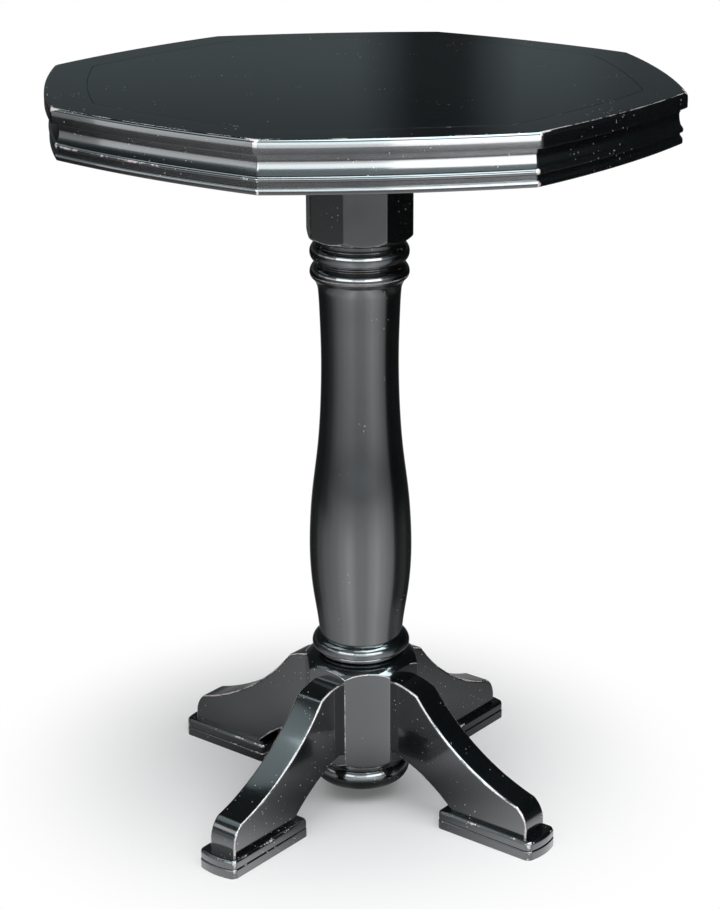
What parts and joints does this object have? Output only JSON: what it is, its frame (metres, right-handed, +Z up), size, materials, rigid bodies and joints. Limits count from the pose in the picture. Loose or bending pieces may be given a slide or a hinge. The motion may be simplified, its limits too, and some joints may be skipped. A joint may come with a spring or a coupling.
{
  "type": "pub table",
  "caption": "Octagonal pub table with bowed sides, a moulded edge, a turned column and bracket legs on layered feet.",
  "frame": {"origin": "on the floor under the middle of the column", "axes": "+Z up, -Y towards the front side of the top, legs on the diagonals"},
  "size_m": [0.84, 0.84, 1.064],
  "materials": {
    "top_lacquer": "black satin lacquer with rubbed edges and fine specks",
    "edge_lacquer": "black satin lacquer with rubbed edges",
    "column_lacquer": "black satin lacquer with rubbed edges",
    "leg_lacquer": "black satin lacquer with rubbed edges and fine specks",
    "bare_wood": "unfinished hardwood",
    "zinc_steel": "zinc plated"
  },
  "bodies": {
    "root": {"field_panel": "top_lacquer", "border_rail_front": "top_lacquer", "border_rail_front_right": "top_lacquer", "border_rail_right": "top_lacquer", "border_rail_back_right": "top_lacquer", "border_rail_back": "top_lacquer", "border_rail_back_left": "top_lacquer", "border_rail_left": "top_lacquer", "border_rail_front_left": "top_lacquer", "mitre_splines": "bare_wood", "edge_moulding_front": "edge_lacquer", "edge_moulding_front_right": "edge_lacquer", "edge_moulding_right": "edge_lacquer", "edge_moulding_back_right": "edge_lacquer", "edge_moulding_back": "edge_lacquer", "edge_moulding_back_left": "edge_lacquer", "edge_moulding_left": "edge_lacquer", "edge_moulding_front_left": "edge_lacquer", "moulding_screws": "zinc_steel", "corner_block_1": "bare_wood", "corner_block_2": "bare_wood", "corner_block_3": "bare_wood", "corner_block_4": "bare_wood", "corner_block_5": "bare_wood", "corner_block_6": "bare_wood", "corner_block_7": "bare_wood", "corner_block_8": "bare_wood", "mounting_plate": "bare_wood", "plate_screws": "zinc_steel", "column_screws": "zinc_steel", "column": "column_lacquer", "bun_finial": "column_lacquer", "bun_screws": "zinc_steel", "leg_front_right": "leg_lacquer", "leg_back_right": "leg_lacquer", "leg_back_left": "leg_lacquer", "leg_front_left": "leg_lacquer", "leg_bolts": "zinc_steel", "leg_washers": "zinc_steel", "leg_nuts": "zinc_steel", "foot_cap_front_right": "leg_lacquer", "foot_cap_back_right": "leg_lacquer", "foot_cap_back_left": "leg_lacquer", "foot_cap_front_left": "leg_lacquer", "foot_pad_front_right": "leg_lacquer", "foot_pad_back_right": "leg_lacquer", "foot_pad_back_left": "leg_lacquer", "foot_pad_front_left": "leg_lacquer", "foot_screws": "zinc_steel"}
  },
  "joints": []
}
